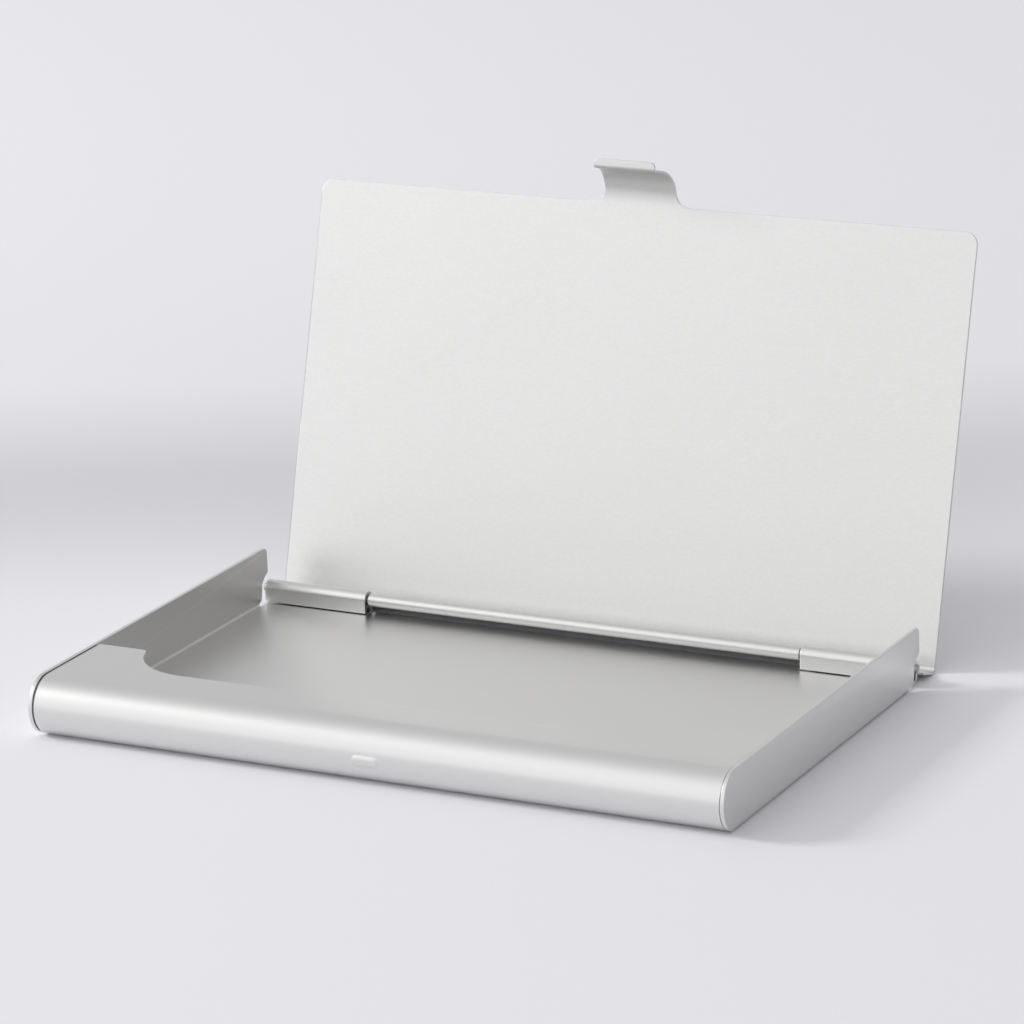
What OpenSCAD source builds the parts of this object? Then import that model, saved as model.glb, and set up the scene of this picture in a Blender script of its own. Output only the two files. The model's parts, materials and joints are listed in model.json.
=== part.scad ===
/* [Tray] */
// Outside width of the case
case_w = 93; // [80:0.5:110]
// Height of the tray's side walls
wall_h = 7.7; // [7:0.1:10]
// Distance from the front of the case to the hinge pin
hinge_y = 58.4; // [50:0.1:75]
// Sheet thickness of the tray
tray_t = 0.5; // [0.4:0.05:0.6]
// Depth of the card lip at its middle
lip_mid_y = 9; // [8:0.1:11]
// Depth of the card lip at its two ears
lip_ear_y = 16.1; // [15:0.1:17]

/* [Lid] */
// Sheet thickness of the lid
lid_t = 0.3; // [0.25:0.05:0.35]
// How far the lid stands open from closed, in degrees
open_angle = 106.4; // [0:0.2:106.4]
// Width of the catch tab's neck
tab_w = 10; // [9:0.2:12]
// Outside radius of the bend between the lid and its back flange
heel_r = 0.9; // [0.8:0.05:1.2]

/* [Hinge] */
// Height of the hinge pin above the table
hinge_z = 2.25; // [2.25:0.05:2.6]
// Diameter of the hinge pin
pin_d = 1.1; // [1:0.05:1.2]
// Half length of the lid's middle knuckle
lid_knuckle_x = 30.6; // [20:0.1:34]
// Radial running clearance between the pin and the tray's knuckles
run_gap = 0.06; // [0.03:0.01:0.1]

/* [Hidden] */
$fn = 64;
eps = 0.01;
half_w = case_w / 2;

// tray
wall_bend_r = 0.9;
floor_x = half_w - wall_bend_r;
roll_x = half_w - tray_t - 0.15;
lip_drop = 0.15;
wall_front_r = wall_h / 2;
roll_r = (wall_h - lip_drop) / 2;
roll_y = lip_drop + roll_r;
lip_cut_r = 9;
lip_cut_x = floor_x - 15.4;
lip_corner_r = 0.7;
nib_r = 1.2;
nib_x = 1.05;
nib_proud = 0.2;
nib_z = roll_r - 0.45;

// hinge
lid_knuckle_r = pin_d / 2 + lid_t;
tray_bore_r = pin_d / 2 + run_gap;
tray_knuckle_r = tray_bore_r + tray_t;
tray_knuckle_x = lid_knuckle_x + 0.3;
flap_z = tray_t + 0.12;
riser_r = 1;
riser_y = hinge_y + tray_knuckle_r - riser_r;
pin_len = case_w - 0.2;
pin_chamfer = 0.1;
tongue_y = hinge_y + 0.7;

// side walls' rear ends
wall_gap = 0.35;
wall_rear = hinge_y + lid_knuckle_r - lid_t - wall_gap;
wall_corner_r = 0.8;
notch_y = hinge_y - 1.5;
notch_top = hinge_z + 2.05;
wall_foot = hinge_y - 2.9;

// lid, described closed
lid_back = hinge_y + lid_knuckle_r;
lid_top = wall_h + lid_t;
lid_front = roll_y;
flange_cut_z = hinge_z + 1.7;
curl_gap = 62;
lid_corner_r = 1.7;

// half the depth of the closed case
mid_y = lid_back / 2;

// catch tab, described closed
tab_y = -0.12;
tab_r = lid_front - tab_y;
tab_z = wall_h - tab_r;
tab_root_r = 1.8;
crease_z = 2.15;
crease_r = 0.2;
tab_lip_x = tab_w / 2 - 0.7;
tab_lip_lean = 82;
tab_lip_len = 0.8;
tab_lip_corner_r = 0.75;
tip_y = tab_y - lid_t - crease_r * (1 - cos(tab_lip_lean)) - tab_lip_len * sin(tab_lip_lean);

// shapes are drawn with y = 0 at the front of the walls, then moved to the origin
module place() {
    translate([0, -mid_y, 0]) children();
}

// extrudes a y-z section along x, centred
module along_x(w) {
    rotate([90, 0, 90]) translate([0, 0, -w / 2]) linear_extrude(w) children();
}

// extrudes an x-z section from y0 to y1
module along_y(y0, y1) {
    translate([0, y1, 0]) rotate([90, 0, 0]) linear_extrude(y1 - y0) children();
}

module both_sides() {
    children();
    mirror([1, 0, 0]) children();
}

// ring section from angle a0 to a1, measured from +y towards +z
module ring_part(r_out, r_in, a0, a1) {
    far = 3 * r_out;
    steps = ceil((a1 - a0) / 45);
    fan = [for (i = [0:steps]) let (a = a0 + (a1 - a0) * i / steps) [far * cos(a), far * sin(a)]];
    intersection() {
        difference() {
            circle(r_out);
            circle(r_in);
        }
        polygon(concat([[0, 0]], fan));
    }
}

// outline of a side wall seen from the side
module wall_profile() {
    difference() {
        union() {
            translate([wall_front_r, wall_front_r]) circle(wall_front_r);
            translate([wall_front_r, 0]) square([wall_rear - wall_front_r, wall_h]);
        }
        wall_corner();
        polygon([
            [wall_foot, -1], [wall_foot, 0], [notch_y - 0.6, 0.5], [notch_y - 0.2, 1.1],
            [notch_y, hinge_z], [notch_y + 0.1, hinge_z + 0.85], [notch_y + 0.7, notch_top - 0.55],
            [wall_rear, notch_top], [wall_rear + 1, notch_top], [wall_rear + 1, -1],
        ]);
    }
}

// what the rounding takes off a wall's top rear corner
module wall_corner() {
    translate([wall_rear - wall_corner_r, wall_h - wall_corner_r]) difference() {
        square(wall_corner_r + eps);
        circle(wall_corner_r);
    }
}

// right-hand wall and its bend to the floor, seen from the front
module wall_section() {
    translate([floor_x, wall_bend_r]) ring_part(wall_bend_r, wall_bend_r - tray_t, 270, 360);
    translate([half_w - tray_t, wall_bend_r]) square([tray_t, wall_h - wall_bend_r]);
}

module side_wall() {
    intersection() {
        along_y(-1, wall_rear + 1) wall_section();
        along_x(2 * case_w) wall_profile();
    }
}

// plan of the card lip with its two ears
module lip_plan() {
    difference() {
        translate([-roll_x, roll_y]) square([2 * roll_x, lip_ear_y - roll_y]);
        translate([-lip_cut_x, lip_mid_y]) square([2 * lip_cut_x, lip_cut_r * 2]);
        both_sides() {
            translate([lip_cut_x, lip_mid_y + lip_cut_r]) circle(lip_cut_r, $fn = 128);
            lip_corner();
        }
    }
}

// what the rounding takes off the corner of an ear
module lip_corner() {
    rise = lip_ear_y - lip_corner_r - lip_mid_y - lip_cut_r;
    edge_x = lip_cut_x + sqrt(lip_cut_r * lip_cut_r - rise * rise);
    difference() {
        translate([edge_x - eps, lip_ear_y - lip_corner_r]) square(lip_corner_r + eps);
        translate([edge_x + lip_corner_r, lip_ear_y - lip_corner_r]) circle(lip_corner_r);
    }
}

module front_roll() {
    along_x(2 * roll_x) translate([roll_y, roll_r]) ring_part(roll_r, roll_r - tray_t, 90, 270);
}

// small pressed bump that the catch tab snaps over
module nib() {
    intersection() {
        translate([0, lip_drop - nib_proud + nib_r, nib_z]) {
            rotate([0, 90, 0]) cylinder(h = 2 * nib_x, r = nib_r, center = true);
            both_sides() translate([nib_x, 0, 0]) sphere(nib_r);
        }
        translate([-4, -1, 0]) cube([8, 1 + lip_drop + tray_t * 0.6, wall_h]);
    }
}

// floor between the walls, with a short tongue under the lid's knuckle
module tray_floor() {
    translate([-floor_x, roll_y, 0]) cube([2 * floor_x, riser_y - roll_y - 1, tray_t]);
    tongue_x = lid_knuckle_x - 0.1;
    translate([-tongue_x, riser_y - 2, 0]) cube([2 * tongue_x, tongue_y - riser_y + 2, tray_t]);
}

// curled knuckle rising from the floor's rear edge, right-hand side
module tray_knuckle() {
    w = roll_x - tray_knuckle_x;
    translate([tray_knuckle_x + w / 2, 0, 0]) along_x(w) {
        translate([hinge_y, hinge_z]) ring_part(tray_knuckle_r, tray_bore_r, 0, 180);
        translate([hinge_y - tray_knuckle_r, flap_z]) square([tray_t, hinge_z - flap_z]);
        translate([riser_y + riser_r - tray_t, riser_r]) square([tray_t, hinge_z - riser_r]);
        translate([riser_y, riser_r]) ring_part(riser_r, riser_r - tray_t, 270, 360);
        translate([riser_y - 2, 0]) square([2, tray_t]);
    }
}

module tray() place() color("silver") {
    tray_floor();
    front_roll();
    nib();
    translate([0, 0, wall_h - lip_drop - tray_t]) linear_extrude(tray_t) lip_plan();
    both_sides() {
        side_wall();
        tray_knuckle();
    }
}

// lid plate, heel bend and flange down to the hinge, seen from the side
module lid_section() {
    translate([lid_front, wall_h]) square([lid_back - heel_r - lid_front, lid_t]);
    translate([lid_back - heel_r, lid_top - heel_r]) ring_part(heel_r, heel_r - lid_t, 0, 90);
    translate([lid_back - lid_t, hinge_z]) square([lid_t, lid_top - heel_r - hinge_z]);
}

module lid_knuckle() {
    along_x(2 * lid_knuckle_x) translate([hinge_y, hinge_z])
        ring_part(lid_knuckle_r, pin_d / 2, curl_gap, 360);
}

// plate corners rounded at the front, seen from above
module lid_plan() {
    translate([-half_w + lid_corner_r, lid_front]) square([case_w - 2 * lid_corner_r, lid_corner_r]);
    translate([-half_w, lid_front + lid_corner_r]) square([case_w, lid_back]);
    both_sides() translate([half_w - lid_corner_r, lid_front + lid_corner_r]) circle(lid_corner_r);
}

// flange beside the middle knuckle stops short of the tray's knuckles
module flange_cuts() {
    both_sides() translate([lid_knuckle_x, lid_back - 1, hinge_z - 2]) cube([half_w, 2, flange_cut_z - hinge_z + 2]);
}

// catch tab seen from the side: wraps the roll, then flares forward into a thumb lip
module tab_section() {
    translate([lid_front, tab_z]) ring_part(tab_r + lid_t, tab_r, 90, 180);
    translate([tab_y - lid_t, crease_z]) square([lid_t, tab_z - crease_z]);
    translate([tab_y - lid_t - crease_r, crease_z]) {
        ring_part(crease_r + lid_t, crease_r, 360 - tab_lip_lean, 360);
        rotate(-tab_lip_lean) translate([crease_r, -tab_lip_len]) square([lid_t, tab_lip_len]);
    }
}

// neck of the tab seen from the front: it narrows towards the thumb lip
module tab_front() {
    half = tab_w / 2;
    polygon([
        [-half, lid_top + 1], [half, lid_top + 1], [half, tab_z + 2], [half - 0.3, tab_z],
        [tab_lip_x, crease_z], [-tab_lip_x, crease_z], [-half + 0.3, tab_z], [-half, tab_z + 2],
    ]);
}

// thumb lip with rounded corners, seen from below
module tab_lip_plan() {
    square_x = tab_lip_x - tab_lip_corner_r;
    corner_y = tip_y + tab_lip_corner_r;
    translate([-tab_lip_x, corner_y]) square([2 * tab_lip_x, tab_y + 1 - corner_y]);
    translate([-square_x, tip_y - 1]) square([2 * square_x, 2]);
    both_sides() translate([square_x, corner_y]) circle(tab_lip_corner_r);
}

// hollow corners where the tab leaves the plate, seen from above
module tab_root() {
    root_x = tab_w / 2 + tab_root_r;
    difference() {
        translate([-root_x, lid_front - tab_root_r]) square([2 * root_x, tab_root_r + eps]);
        both_sides() translate([root_x, lid_front - tab_root_r]) circle(tab_root_r);
    }
}

module catch_tab() {
    intersection() {
        along_x(case_w / 3) tab_section();
        union() {
            along_y(tab_y - 1, lid_front - tab_root_r + eps) tab_front();
            linear_extrude(lid_top + 1) tab_root();
            linear_extrude(crease_z + eps) tab_lip_plan();
        }
    }
}

module lid_closed() {
    difference() {
        intersection() {
            along_x(case_w) lid_section();
            linear_extrude(lid_top + 1) lid_plan();
        }
        flange_cuts();
    }
    lid_knuckle();
    catch_tab();
}

module lid() place() color("gainsboro")
    translate([0, hinge_y, hinge_z]) rotate([-open_angle, 0, 0]) translate([0, -hinge_y, -hinge_z])
        lid_closed();

module hinge_pin() place() color("darkgray")
    translate([-pin_len / 2, hinge_y, hinge_z]) rotate([0, 90, 0]) rotate_extrude() polygon([
        [0, 0], [pin_d / 2 - pin_chamfer, 0], [pin_d / 2, pin_chamfer],
        [pin_d / 2, pin_len - pin_chamfer], [pin_d / 2 - pin_chamfer, pin_len], [0, pin_len],
    ]);

tray();
lid();
hinge_pin();
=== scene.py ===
import json
import math

import bmesh
import bpy
from mathutils import Matrix, Vector


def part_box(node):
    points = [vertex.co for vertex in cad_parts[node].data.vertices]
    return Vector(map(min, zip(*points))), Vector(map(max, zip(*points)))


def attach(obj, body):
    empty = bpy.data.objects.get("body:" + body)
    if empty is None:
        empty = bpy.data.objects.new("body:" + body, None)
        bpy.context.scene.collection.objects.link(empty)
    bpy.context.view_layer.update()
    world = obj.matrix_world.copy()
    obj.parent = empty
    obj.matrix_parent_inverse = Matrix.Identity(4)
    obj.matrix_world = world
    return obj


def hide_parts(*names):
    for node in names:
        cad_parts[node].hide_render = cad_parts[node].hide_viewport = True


mm = 0.001
tiny = 1e-9            # slack when comparing lengths
weld = 0.0004 * mm     # patch corners closer than this are one point
sharpEdge = math.radians(50)    # folds sharper than this get a soft edge
edgeSteps = 3
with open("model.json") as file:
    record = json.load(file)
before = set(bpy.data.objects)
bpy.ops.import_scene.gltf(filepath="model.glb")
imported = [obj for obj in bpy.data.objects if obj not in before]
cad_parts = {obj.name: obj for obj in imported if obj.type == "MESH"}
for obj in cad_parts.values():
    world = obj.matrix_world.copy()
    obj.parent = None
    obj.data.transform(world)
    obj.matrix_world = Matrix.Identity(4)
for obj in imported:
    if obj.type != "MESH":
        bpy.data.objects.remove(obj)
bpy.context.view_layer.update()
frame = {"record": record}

# the hinge fixes where everything sits: the pin runs along x at this y and z
hinge = frame["record"]["behaviour"]["joints"][0]
pinY, pinZ = hinge["pos_m"][1], hinge["pos_m"][2]
openAngle = math.radians(hinge["range_deg"][1])
trayLow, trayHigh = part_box("tray")
halfWide = (trayHigh.x - trayLow.x) / 2
wallTop = trayHigh.z
pinLow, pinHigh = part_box("hinge_pin")


def spread(a, b, count):
    return [a + (b - a) * i / count for i in range(count + 1)]


def arcPoints(cy, cz, radius, startDeg, endDeg, stepDeg=6):
    # points on an arc in the y-z plane, angles from +y towards +z
    count = max(2, math.ceil(abs(endDeg - startDeg) / stepDeg))
    return [(cy + radius * math.cos(math.radians(a)), cz + radius * math.sin(math.radians(a)))
            for a in spread(startDeg, endDeg, count)]


def addGrid(bm, rows):
    # rows of points become a patch of four-sided faces
    made = [[bm.verts.new(p) for p in row] for row in rows]
    for low, high in zip(made, made[1:]):
        for i in range(len(low) - 1):
            bm.faces.new((low[i], low[i + 1], high[i + 1], high[i]))


def sheetPiece(name, bm, thickness, edgeRound, outward, lookFor):
    # welds the patches, turns them all to face outward, then gives them sheet thickness and soft edges
    bmesh.ops.remove_doubles(bm, verts=bm.verts, dist=weld)
    bmesh.ops.recalc_face_normals(bm, faces=bm.faces)
    bm.normal_update()
    sample = min(bm.faces, key=lambda f: (f.calc_center_median() - lookFor).length)
    if sample.normal.dot(outward) < 0:
        bmesh.ops.reverse_faces(bm, faces=bm.faces)
    mesh = bpy.data.meshes.new(name)
    bm.to_mesh(mesh)
    bm.free()
    mesh.polygons.foreach_set("use_smooth", [True] * len(mesh.polygons))
    piece = bpy.data.objects.new(name, mesh)
    bpy.context.scene.collection.objects.link(piece)
    thick = piece.modifiers.new("sheet", "SOLIDIFY")
    thick.thickness, thick.offset, thick.use_even_offset = thickness, -1, True
    soft = piece.modifiers.new("softEdge", "BEVEL")
    soft.width, soft.segments, soft.limit_method = edgeRound, edgeSteps, "ANGLE"
    soft.angle_limit, soft.harden_normals = sharpEdge, True
    soft.use_clamp_overlap = False
    return piece


def satinMetal(name, look):
    mat = bpy.data.materials.new(name)
    mat.use_nodes = True
    nodes, links = mat.node_tree.nodes, mat.node_tree.links
    shader = nodes["Principled BSDF"]
    shader.inputs["Metallic"].default_value = 1
    shader.inputs["Base Color"].default_value = (*look["colour"], 1)
    shader.inputs["Roughness"].default_value = look["roughness"]
    where = nodes.new("ShaderNodeTexCoord")

    def noise(scale, stretch, detail=3):
        place = nodes.new("ShaderNodeMapping")
        place.inputs["Scale"].default_value = stretch
        links.new(where.outputs["Object"], place.inputs["Vector"])
        tex = nodes.new("ShaderNodeTexNoise")
        tex.inputs["Scale"].default_value = scale
        tex.inputs["Detail"].default_value = detail
        links.new(place.outputs["Vector"], tex.inputs["Vector"])
        return tex.outputs["Fac"]

    def remap(value, low, high, fromLow=0.3, fromHigh=0.7):
        node = nodes.new("ShaderNodeMapRange")
        links.new(value, node.inputs["Value"])
        ends = {"From Min": fromLow, "From Max": fromHigh, "To Min": low, "To Max": high}
        for key, number in ends.items():
            node.inputs[key].default_value = number
        return node.outputs["Result"]

    grain = noise(look["grainScale"], look["grainStretch"])
    cloud = noise(look["cloudScale"], (1, 1, 1), 2)

    # colour: base tone drifts a little, raised edges are rubbed brighter
    drift = nodes.new("ShaderNodeMix")
    drift.data_type = "RGBA"
    drift.inputs["A"].default_value = (*[c * (1 - look["drift"]) for c in look["colour"]], 1)
    drift.inputs["B"].default_value = (*[min(1, c * (1 + look["drift"])) for c in look["colour"]], 1)
    mixed = nodes.new("ShaderNodeMath")
    mixed.operation = "MULTIPLY_ADD"
    links.new(remap(grain, 0, look["grainTone"]), mixed.inputs[0])
    mixed.inputs[1].default_value = 1
    links.new(remap(cloud, 0, 1 - look["grainTone"]), mixed.inputs[2])
    links.new(mixed.outputs["Value"], drift.inputs["Factor"])
    shape = nodes.new("ShaderNodeNewGeometry")
    rubbed = nodes.new("ShaderNodeMix")
    rubbed.data_type = "RGBA"
    rubbed.inputs["B"].default_value = (*look["edgeColour"], 1)
    sharpness = remap(shape.outputs["Pointiness"], 0, look["edgeWear"], *look["edgeSharpness"])
    links.new(sharpness, rubbed.inputs["Factor"])
    links.new(drift.outputs["Result"], rubbed.inputs["A"])
    links.new(rubbed.outputs["Result"], shader.inputs["Base Color"])

    # sheen: roughness follows the same slow drift with the grain on top
    rough = nodes.new("ShaderNodeMath")
    rough.operation = "ADD"
    low, high = look["roughness"] - look["sheenDrift"], look["roughness"] + look["sheenDrift"]
    links.new(remap(cloud, low, high), rough.inputs[0])
    links.new(remap(grain, -look["grainSheen"], look["grainSheen"]), rough.inputs[1])
    links.new(rough.outputs["Value"], shader.inputs["Roughness"])
    bump = nodes.new("ShaderNodeBump")
    bump.inputs["Strength"].default_value = look["grainStrength"]
    bump.inputs["Distance"].default_value = look["grainDepth"]
    links.new(grain, bump.inputs["Height"])
    links.new(bump.outputs["Normal"], shader.inputs["Normal"])
    return mat


def plainFinish(name, look):
    mat = bpy.data.materials.new(name)
    mat.use_nodes = True
    shader = mat.node_tree.nodes["Principled BSDF"]
    shader.inputs["Base Color"].default_value = (*look["colour"], 1)
    shader.inputs["Roughness"].default_value = look["roughness"]
    return mat


# the tray: one folded sheet with walls, front roll, lip and two knuckles
tray = {
    "sheet": 0.5 * mm,
    "pinFromFront": 58.4 * mm,
    "edgeRound": 0.06 * mm,
    "wallBend": 0.9 * mm,      # outside radius where the floor turns up into a wall
    "topEase": 0.02 * mm,      # the closed lid lies on the walls without their faces sharing a plane
    "rollInset": 0.15 * mm,    # roll and lip sit this far inside the wall's outline
    "lipMiddle": 9.0 * mm,     # depth of the lip from the front, at its middle
    "lipEar": 16.1 * mm,       # and at its ears
    "lipCurve": 9.0 * mm,
    "lipCurveFromWall": 15.4 * mm,
    "earCorner": 0.7 * mm,
    "nibHalf": 1.05 * mm,      # half the length of the nib's straight ridge
    "nibReach": 0.75 * mm,
    "nibHigh": 0.2 * mm,
    "nibDrop": 0.45 * mm,      # the nib sits this far below the roll's middle
    "nibPower": 2.2,           # higher gives the nib a flatter top
    "floorEnd": 0.9 * mm,      # the floor's last row lies this far in front of the pin
    "tongueHalf": 30.5 * mm,
    "tongueEnd": 0.7 * mm,     # and the tongue goes on to this far behind it
    "knuckleFrom": 30.9 * mm,
    "boreGap": 0.06 * mm,
    "riserBend": 1.0 * mm,
    "flapEnd": 0.62 * mm,      # the knuckle's free edge curls down to this height
    "foot": 2.9 * mm,          # the walls' lower rear corner is this far in front of the pin
    "footLean": 1.05 * mm,     # and the corner leans back this much over the height of the bend
    "wallRear": 0.2 * mm,      # the walls end this far behind the pin
    "wallCorner": 0.8 * mm,
    "notch": 1.5 * mm,         # cut this far in front of the pin, to clear it and the knuckle
    "notchMouth": 2.05 * mm,   # and open at the rear edge from this far above the pin
    "notchShoulder": (0.7 * mm, 1.5 * mm),     # its corners, behind its front and above the pin
    "notchElbow": (0.1 * mm, 0.85 * mm),
    "notchFoot": (-0.2 * mm, 1.1 * mm),        # and the last one, above the table
    "fineColumns": 2.6 * mm,   # the mesh is finest out to here, for the nib
    "wideColumns": (4 * mm, 28 * mm),
    "columnGap": 0.15 * mm,    # no column stands closer than this to the tongue's or a knuckle's side
    "endGap": 0.15 * mm,       # slit between the walls and the ends of the roll and knuckles
}

frontY = pinY - tray["pinFromFront"]
floorHalf = halfWide - tray["wallBend"]
rollRadius = (wallTop - tray["rollInset"]) / 2
rollY, rollZ = frontY + tray["rollInset"] + rollRadius, rollRadius
wallRound = (wallTop - tray["topEase"]) / 2    # a wall's front end is a half circle
pinRadius = (pinHigh.z - pinLow.z) / 2


def lipEdge(x):
    # how far back the lip reaches at x, measured from the front
    t = tray
    x = abs(x)
    start = floorHalf - t["lipCurveFromWall"]
    straightEnd = t["lipEar"] - t["earCorner"]
    climb = straightEnd - t["lipMiddle"] - t["lipCurve"]
    side = start + math.sqrt(t["lipCurve"] ** 2 - climb ** 2)
    if x <= start:
        return t["lipMiddle"]
    if x <= side:
        return t["lipMiddle"] + t["lipCurve"] - math.sqrt(t["lipCurve"] ** 2 - (x - start) ** 2)
    if x <= side + t["earCorner"]:
        return straightEnd + math.sqrt(max(0, t["earCorner"] ** 2 - (x - side - t["earCorner"]) ** 2))
    return t["lipEar"]


def trayColumns():
    # where the tray's mesh has its columns along x: close together at the nib, the curve and the ears
    t = tray
    start = floorHalf - t["lipCurveFromWall"]
    climb = t["lipEar"] - t["earCorner"] - t["lipMiddle"] - t["lipCurve"]
    sweep = math.degrees(math.acos(-climb / t["lipCurve"]))
    side = start + t["lipCurve"] * math.sin(math.radians(sweep))
    xs = {round(x, 7) for x in spread(0, t["fineColumns"], 20) + spread(*t["wideColumns"], 9)}
    xs |= {round(start + t["lipCurve"] * math.sin(math.radians(a)), 7) for a in spread(0, sweep, 15)}
    corner = t["earCorner"]
    xs |= {round(side + corner * (1 - math.cos(math.radians(a))), 7) for a in spread(0, 90, 6)}
    xs |= {round(x, 7) for x in spread(side + corner + 1 * mm, floorHalf, 4)}
    for fixed in (t["tongueHalf"], t["knuckleFrom"]):
        xs = {x for x in xs if abs(x - fixed) > t["columnGap"]} | {round(fixed, 7)}
    xs = sorted(xs)
    return [-x for x in reversed(xs) if x > 0] + xs


def nibRise(x, z):
    # height of the small pressed bump at the middle of the roll
    t = tray
    away = math.hypot(max(0, abs(x) - t["nibHalf"]), z - rollZ + t["nibDrop"]) / t["nibReach"]
    return t["nibHigh"] * (1 - away ** t["nibPower"]) if away < 1 else 0


def wallOutline():
    # the flat part of a wall above its bend, as (from front, height) points from the front round to the foot
    t = tray
    r = wallRound
    bend = t["wallBend"]
    pin = t["pinFromFront"]
    startDeg = 180 + math.degrees(math.asin((r - bend) / r))
    pts = arcPoints(r, r, r, startDeg, 90, 4)
    rear = pin + t["wallRear"]
    corner = t["wallCorner"]
    pts += arcPoints(rear - corner, 2 * r - corner, corner, 90, 0, 10)
    notch = pin - t["notch"]
    pts.append((rear, pinZ + t["notchMouth"]))
    pts += [(notch + behind, pinZ + above) for behind, above in (t["notchShoulder"], t["notchElbow"])]
    footBehind, footHigh = t["notchFoot"]
    return pts + [(notch, pinZ), (notch + footBehind, footHigh)]


def buildTray():
    t = tray
    bm = bmesh.new()
    xs = trayColumns()
    footY = t["pinFromFront"] - t["foot"]
    floorRows = spread(rollY - frontY, footY, 14)
    rearRow = t["pinFromFront"] - t["floorEnd"]

    def strip(columns, path):
        addGrid(bm, [[(x, y, z) for x in columns] for y, z in path])

    strip(xs, [(frontY + y, 0) for y in floorRows + [rearRow]])

    # front roll, with the nib pushed out of it, in finer rows there: it runs on past the floor to
    # the slit at each wall
    slitX = halfWide - t["sheet"] - t["endGap"]
    wideXs = [-slitX] + xs + [slitX]
    roll = []
    for a in spread(270, 204, 11) + spread(202, 170, 32) + spread(168, 90, 13):
        c, s = math.cos(math.radians(a)), math.sin(math.radians(a))
        row = []
        for x in wideXs:
            reach = rollRadius + nibRise(x, rollZ + rollRadius * s)
            row.append((x, rollY + reach * c, rollZ + reach * s))
        roll.append(row)
    addGrid(bm, roll)

    # lip, reaching back to its curved edge
    lipZ = wallTop - t["rollInset"]
    rowShares = (0, 0.3, 0.6, 0.85, 1)
    addGrid(bm, [[(x, rollY + (frontY + lipEdge(x) - rollY) * k, lipZ) for x in wideXs] for k in rowShares])

    # tongue under the lid's knuckle
    tongueXs = [x for x in xs if abs(x) <= t["tongueHalf"] + tiny]
    strip(tongueXs, [(frontY + rearRow, 0), (pinY + t["tongueEnd"], 0)])

    # the two curled knuckles
    outer = pinRadius + t["boreGap"] + t["sheet"]
    riserY = pinY + outer - t["riserBend"]
    path = [(frontY + rearRow, 0)] + arcPoints(riserY, t["riserBend"], t["riserBend"], 270, 360, 10)
    path += arcPoints(pinY, pinZ, outer, 0, 180, 9) + [(pinY - outer, t["flapEnd"])]
    for side in (-1, 1):
        strip([x for x in wideXs if x * side >= t["knuckleFrom"] - tiny], path)

    # bends up into the walls, then the flat of each wall
    r = wallRound
    for side in (-1, 1):
        rows = []
        for a in spread(0, 90, 8):
            z = t["wallBend"] * (1 - math.cos(math.radians(a)))
            x = side * (floorHalf + t["wallBend"] * math.sin(math.radians(a)))
            begin = r - math.sqrt(r * r - (r - z) ** 2) if a else rollY - frontY
            end = footY + t["footLean"] * z / t["wallBend"]
            span = floorRows[-1] - floorRows[0]
            shares = [(y - floorRows[0]) / span for y in floorRows]
            rows.append([(x, frontY + begin + (end - begin) * k, z) for k in shares])
        addGrid(bm, rows)
        outline = [(side * halfWide, frontY + y, z) for y, z in wallOutline()]
        corners = [bm.verts.new(p) for p in outline] + [bm.verts.new(p) for p in reversed(rows[-1][1:])]
        bm.faces.new(corners)
    down, underFloor = Vector((0, 0, -1)), Vector((0, 0, 0))
    return sheetPiece("tray_sheet", bm, t["sheet"], t["edgeRound"], down, underFloor)


# the lid: a plate with a catch tab in front and a knuckle behind, described closed
lid = {
    "sheet": 0.3 * mm,
    "edgeRound": 0.05 * mm,
    "heel": 0.9 * mm,          # outside radius of the bend from plate to flange
    "corner": 1.7 * mm,
    "flangeEnd": 1.7 * mm,     # the flange's side parts stop this far above the pin's centre
    "knuckleHalf": 30.6 * mm,
    "curlGapDeg": 62,
    "tabHalf": 5.0 * mm,
    "tabRoot": 1.8 * mm,
    "taperFrom": 0.35,         # the neck narrows from this share of its length
    "taperOver": 0.6,
    "taperPower": 1.5,
    "tabStand": 0.12 * mm,     # the tab's inner face stands this far in front of the walls
    "creaseZ": 2.15 * mm,
    "creaseRound": 0.2 * mm,
    "lipHalf": 4.3 * mm,
    "lipLong": 0.79 * mm,
    "lipSlope": 82,            # thumb lip's lean from upright, in degrees
    "lipCorner": 0.78 * mm,
}


def tabPath():
    # outer face of the catch tab: wraps the roll, drops, then flares into the thumb lip
    s = lid
    stand = rollY - frontY + s["tabStand"]
    outer = stand + s["sheet"]
    centreZ = wallTop - stand
    pts = arcPoints(rollY, centreZ, outer, 90, 180, 5)
    faceY = rollY - outer
    crease, lean = s["creaseRound"], s["lipSlope"]
    pts += [(faceY, centreZ + (s["creaseZ"] - centreZ) * k) for k in (0.35, 0.7)]
    pts += arcPoints(faceY - crease, s["creaseZ"], crease, 0, -lean, 10)
    y, z = pts[-1]
    a = math.radians(lean)
    for k in spread(0, 1, 8)[1:]:
        pts.append((y - math.sin(a) * s["lipLong"] * k, z - math.cos(a) * s["lipLong"] * k))
    return pts


def tabWidths(path):
    # half width of the tab at each point of its path
    s = lid
    long = [0]
    for a, b in zip(path, path[1:]):
        long.append(long[-1] + math.hypot(b[0] - a[0], b[1] - a[1]))
    total = long[-1]
    lipStart = total - s["lipLong"]
    out = []
    for d in long:
        along = (d - s["taperFrom"] * lipStart) / (s["taperOver"] * lipStart)
        taper = max(0, min(1, along)) ** s["taperPower"]
        half = s["tabHalf"] + (s["lipHalf"] - s["tabHalf"]) * taper
        if d < s["tabRoot"]:
            half = s["tabHalf"] + s["tabRoot"] - math.sqrt(s["tabRoot"] ** 2 - (s["tabRoot"] - d) ** 2)
        left = total - d
        if left < s["lipCorner"]:
            half -= s["lipCorner"] - math.sqrt(max(0, s["lipCorner"] ** 2 - (s["lipCorner"] - left) ** 2))
        out.append(half)
    return out


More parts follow.
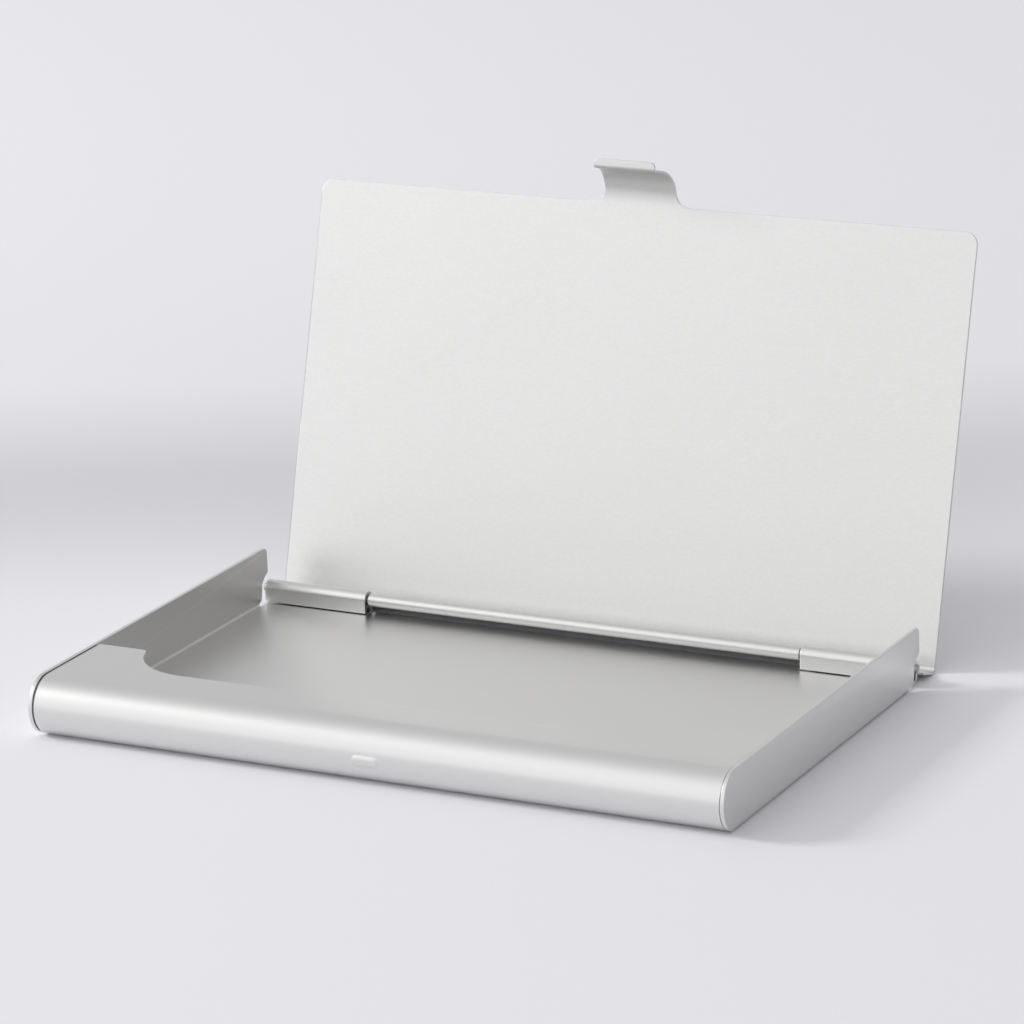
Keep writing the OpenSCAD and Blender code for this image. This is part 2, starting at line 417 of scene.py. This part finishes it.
def buildLid():
    s = lid
    bm = bmesh.new()
    top = wallTop + s["sheet"]
    back = pinY + pinRadius + s["sheet"]
    frontEdge = rollY
    root = s["tabHalf"] + s["tabRoot"]
    shares = spread(-1, 1, 12)
    half = [root * k for k in shares if k >= 0]
    half += spread(root, s["knuckleHalf"], 7)[1:]
    half += spread(s["knuckleHalf"], halfWide - s["corner"], 4)[1:]
    half += [halfWide - s["corner"] * (1 - math.sin(math.radians(a))) for a in spread(0, 90, 9)][1:]
    xs = [-x for x in reversed(half) if x > 0] + half

    def edgeY(x):
        over = max(0, abs(x) - (halfWide - s["corner"]))
        return frontEdge + s["corner"] - math.sqrt(max(0, s["corner"] ** 2 - over ** 2))

    heelY, heelZ = back - s["heel"], top - s["heel"]
    rowShares = (0, 0.04, 0.2, 0.4, 0.6, 0.8, 1)
    addGrid(bm, [[(x, edgeY(x) + (heelY - edgeY(x)) * k, top) for x in xs] for k in rowShares])

    # heel bend and flange, then the middle knuckle curled round the pin
    flangeEnd = pinZ + s["flangeEnd"]
    path = arcPoints(heelY, heelZ, s["heel"], 90, 0, 9) + [(back, flangeEnd)]
    addGrid(bm, [[(x, y, z) for x in xs] for y, z in path])
    middle = [x for x in xs if abs(x) <= s["knuckleHalf"] + tiny]
    curl = [(back, flangeEnd)] + arcPoints(pinY, pinZ, pinRadius + s["sheet"], 0, s["curlGapDeg"] - 360, 9)
    addGrid(bm, [[(x, y, z) for x in middle] for y, z in curl])

    path = tabPath()
    addGrid(bm, [[(w * k, y, z) for k in shares] for (y, z), w in zip(path, tabWidths(path))])

    # closed so far: turned open about the pin
    turn = Matrix.Translation((0, pinY, pinZ)) @ Matrix.Rotation(-openAngle, 4, "X")
    bmesh.ops.transform(bm, matrix=turn @ Matrix.Translation((0, -pinY, -pinZ)), verts=bm.verts)
    outward = Matrix.Rotation(-openAngle, 3, "X") @ Vector((0, 0, 1))
    plateMiddle = turn @ Vector((0, -0.5 * tray["pinFromFront"], top - pinZ))
    return sheetPiece("lid_sheet", bm, s["sheet"], s["edgeRound"], outward, plateMiddle)


# the pin: one straight wire with eased ends
pin = {"sides": 48, "endRound": 0.12 * mm}


def buildPin():
    bm = bmesh.new()
    bmesh.ops.create_cone(bm, cap_ends=True, segments=pin["sides"], radius1=pinRadius, radius2=pinRadius,
                          depth=pinHigh.x - pinLow.x, matrix=Matrix.Rotation(math.pi / 2, 4, "Y"))
    bmesh.ops.translate(bm, verts=bm.verts, vec=(0, pinY, pinZ))
    mesh = bpy.data.meshes.new("pin_wire")
    bm.to_mesh(mesh)
    bm.free()
    mesh.polygons.foreach_set("use_smooth", [True] * len(mesh.polygons))
    piece = bpy.data.objects.new("pin_wire", mesh)
    bpy.context.scene.collection.objects.link(piece)
    soft = piece.modifiers.new("softEnd", "BEVEL")
    soft.width, soft.segments, soft.harden_normals = pin["endRound"], edgeSteps, True
    soft.limit_method, soft.angle_limit = "ANGLE", sharpEdge
    return piece


trayPiece = buildTray()
print("tray sheet built")
lidPiece = buildLid()
print("lid sheet built")
pinPiece = buildPin()
print("hinge pin built")

# satin metal on both sheets: the lid is a little rougher, with a grain drawn out along x
trayLook = {
    "colour": (0.75, 0.746, 0.737),
    "drift": 0.008,                # how far the colour wanders
    "edgeColour": (0.84, 0.84, 0.83),
    "edgeWear": 0.5,
    "edgeSharpness": (0.56, 0.64),
    "roughness": 0.34,
    "sheenDrift": 0.008,
    "grainTone": 0.6,              # share of the colour's drift that follows the grain
    "grainScale": 4200,
    "grainStretch": (1, 1, 1),
    "grainSheen": 0.006,
    "grainStrength": 0.04,
    "grainDepth": 0.006 * mm,
    "cloudScale": 45,
}
lidLook = dict(trayLook, colour=(0.722, 0.718, 0.707), roughness=0.4, drift=0.03, grainTone=0.8,
               grainStretch=(0.4, 1, 1), grainSheen=0.02, grainStrength=0.1)
pinLook = dict(trayLook, colour=(0.42, 0.42, 0.42), roughness=0.35, edgeColour=(0.6, 0.6, 0.6))

for piece, body, node, slot, look in (
        (trayPiece, "tray", "tray", "tray_sheet", trayLook),
        (lidPiece, "lid", "lid", "lid_sheet", lidLook),
        (pinPiece, "lid", "hinge_pin", "pin_wire", pinLook)):
    piece.data.materials.append(satinMetal(slot, look))
    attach(piece, body)
    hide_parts(node)
print("finishes on")

# a pale table under the case
paper = {"size": 6, "colour": (0.92, 0.91, 0.95), "roughness": 0.7}

bpy.ops.mesh.primitive_plane_add(size=paper["size"], location=(0, 0, 0))
table = bpy.context.object
table.name = "table"
table.data.materials.append(plainFinish("tablePaper", paper))

# one low soft lamp from the left, aimed at the case
key = {"place": (-1.1, -0.32, 0.6), "size": 0.3, "power": 7.6}

keyData = bpy.data.lights.new("key", "AREA")
keyData.shape, keyData.size, keyData.energy = "SQUARE", key["size"], key["power"]
lamp = bpy.data.objects.new("key", keyData)
bpy.context.scene.collection.objects.link(lamp)
lamp.location = key["place"]
lamp.rotation_euler = (-lamp.location).to_track_quat("-Z", "Y").to_euler()

# the room: bright in front, dimmer behind and to the right
room = {
    "front": 1.13,
    "behind": 0.68,
    "fromFront": (-1.1, 0.4),      # where the fade from front to behind starts and ends
    "rightShare": 0.53,
    "toRight": (-0.4, 0.7),
    "colour": (0.985, 0.99, 1),
}
world = bpy.data.worlds.new("softRoom")
bpy.context.scene.world = world
world.use_nodes = True
sky, join = world.node_tree.nodes, world.node_tree.links
facing = sky.new("ShaderNodeTexCoord")
split = sky.new("ShaderNodeSeparateXYZ")
join.new(facing.outputs["Generated"], split.inputs["Vector"])


def fade(axis, ends, first, last):
    node = sky.new("ShaderNodeMapRange")
    node.interpolation_type = "SMOOTHSTEP"
    join.new(split.outputs[axis], node.inputs["Value"])
    numbers = {"From Min": ends[0], "From Max": ends[1], "To Min": first, "To Max": last}
    for socket, number in numbers.items():
        node.inputs[socket].default_value = number
    return node.outputs["Result"]


both = sky.new("ShaderNodeMath")
both.operation = "MULTIPLY"
join.new(fade("Y", room["fromFront"], room["front"], room["behind"]), both.inputs[0])
join.new(fade("X", room["toRight"], 1, room["rightShare"]), both.inputs[1])
sky["Background"].inputs["Color"].default_value = (*room["colour"], 1)
join.new(both.outputs["Value"], sky["Background"].inputs["Strength"])

# a card held over the table to the left and behind: it casts a soft band and is itself not seen
shade = {
    "along": 1.2,
    "deep": 0.038,
    "height": 0.11,
    "place": (-0.58, -0.161),
    "turn": 27.3,
    "colour": (0.5, 0.5, 0.5),
    "roughness": 0.9,
}
bpy.ops.mesh.primitive_plane_add(size=1, location=(*shade["place"], shade["height"]))
card = bpy.context.object
card.name = "shadeCard"
card.scale = (shade["along"], shade["deep"], 1)
card.rotation_euler.z = math.radians(shade["turn"])
card.visible_camera = card.visible_glossy = False
card.data.materials.append(plainFinish("card", shade))

# the camera stands in front and to the right, placed in mm from the foot of the walls' front ends
view = {
    "place": (268.114, -479.245, 199.555),
    "azimuth": 27.302,
    "elevation": 16.83,
    "roll": -1.93,
    "lens": 173.77,
    "sensor": 36,
    "nearest": 0.05,
    "farthest": 20,
}

az, el, roll = (math.radians(view[k]) for k in ("azimuth", "elevation", "roll"))
back = Vector((math.sin(az) * math.cos(el), -math.cos(az) * math.cos(el), math.sin(el)))
right = back.cross(Vector((0, 0, 1))).normalized() * -1
up = back.cross(right)
turned = Matrix.Rotation(roll, 3, back)
right, up = turned @ right, turned @ up
camData = bpy.data.cameras.new("camera")
camData.lens, camData.sensor_width = view["lens"], view["sensor"]
camera = bpy.data.objects.new("camera", camData)
bpy.context.scene.collection.objects.link(camera)
camera.matrix_world = Matrix((
    (right.x, up.x, back.x, view["place"][0] * mm),
    (right.y, up.y, back.y, view["place"][1] * mm + frontY),
    (right.z, up.z, back.z, view["place"][2] * mm),
    (0, 0, 0, 1)))
camData.clip_start, camData.clip_end = view["nearest"], view["farthest"]
bpy.context.scene.camera = camera
bpy.context.scene.view_settings.view_transform = "Standard"
print("stage, lights and camera set")
